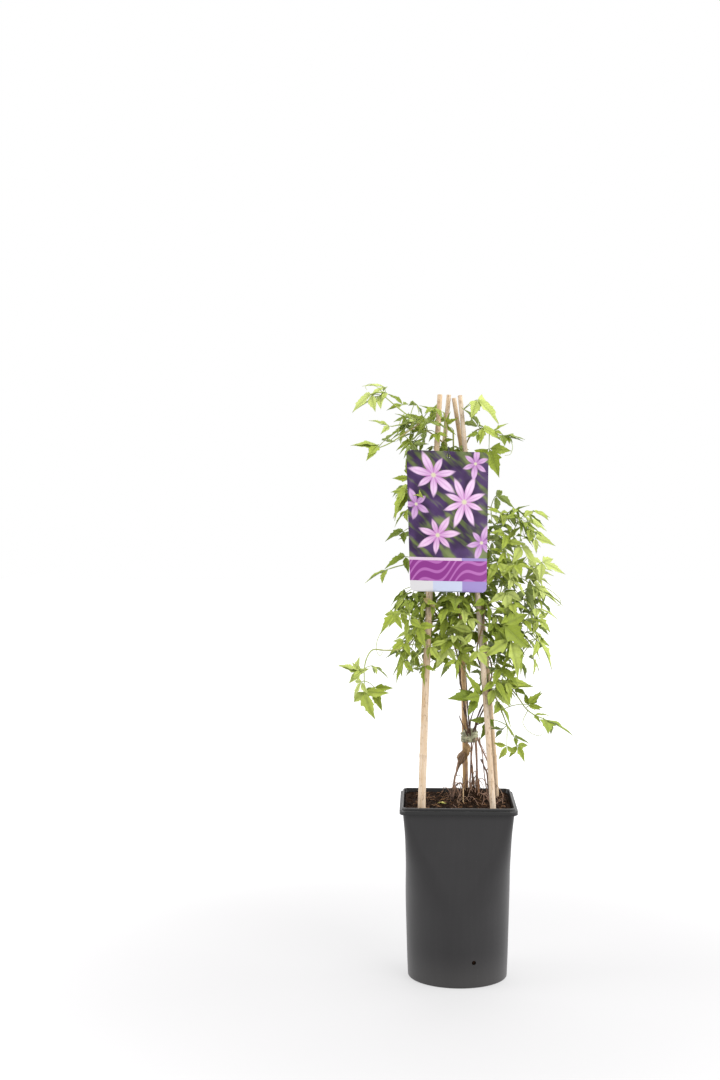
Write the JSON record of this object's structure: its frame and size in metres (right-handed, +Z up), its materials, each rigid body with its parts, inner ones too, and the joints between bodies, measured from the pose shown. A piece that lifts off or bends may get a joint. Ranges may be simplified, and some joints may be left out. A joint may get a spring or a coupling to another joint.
{
  "type": "potted climbing clematis on canes",
  "caption": "Climbing clematis in leaf on a tepee of bamboo canes, in a square-topped nursery pot with soil, a stem tie and a hanging picture label.",
  "frame": {"origin": "centre of the pot's base, on the surface that it stands on", "axes": "+Z up through the canes, -Y to the viewer, where the label hangs, +X to the viewer's right"},
  "size_m": [0.2755, 0.1504, 0.7142],
  "materials": {
    "pot_plastic": "charcoal moulded plastic, fine satin",
    "soil": "dark crumbly compost with root fibres",
    "bamboo": "pale dry bamboo, semi-matte",
    "tie_tape": "grey-green plant tape",
    "band_rubber": "matte black",
    "label_card": "printed glossy plastic card",
    "loop_plastic": "black plastic loop",
    "leaf": "soft green leaves and stems, slightly glossy",
    "dry_stem": "dry bark",
    "fallen_leaf": "yellowed leaf"
  },
  "bodies": {
    "root": {"pot": "pot_plastic", "soil": "soil", "cane_front_left": "bamboo", "cane_front_right": "bamboo", "cane_back_left": "bamboo", "cane_back_right": "bamboo", "cane_middle": "bamboo", "tie_stems": "tie_tape", "band_canes": "band_rubber", "label": "label_card", "label_loop": "loop_plastic", "stem_middle": "leaf", "stem_front_left": "leaf", "stem_front_right": "leaf", "stem_back_right": "leaf", "stem_back_left": "leaf", "dry_stem_cut": "dry_stem", "dry_stem_bark": "dry_stem", "dry_stem_dark": "dry_stem", "dry_stem_pale": "dry_stem", "dry_stem_bent": "dry_stem", "fallen_leaf": "fallen_leaf"}
  },
  "joints": []
}
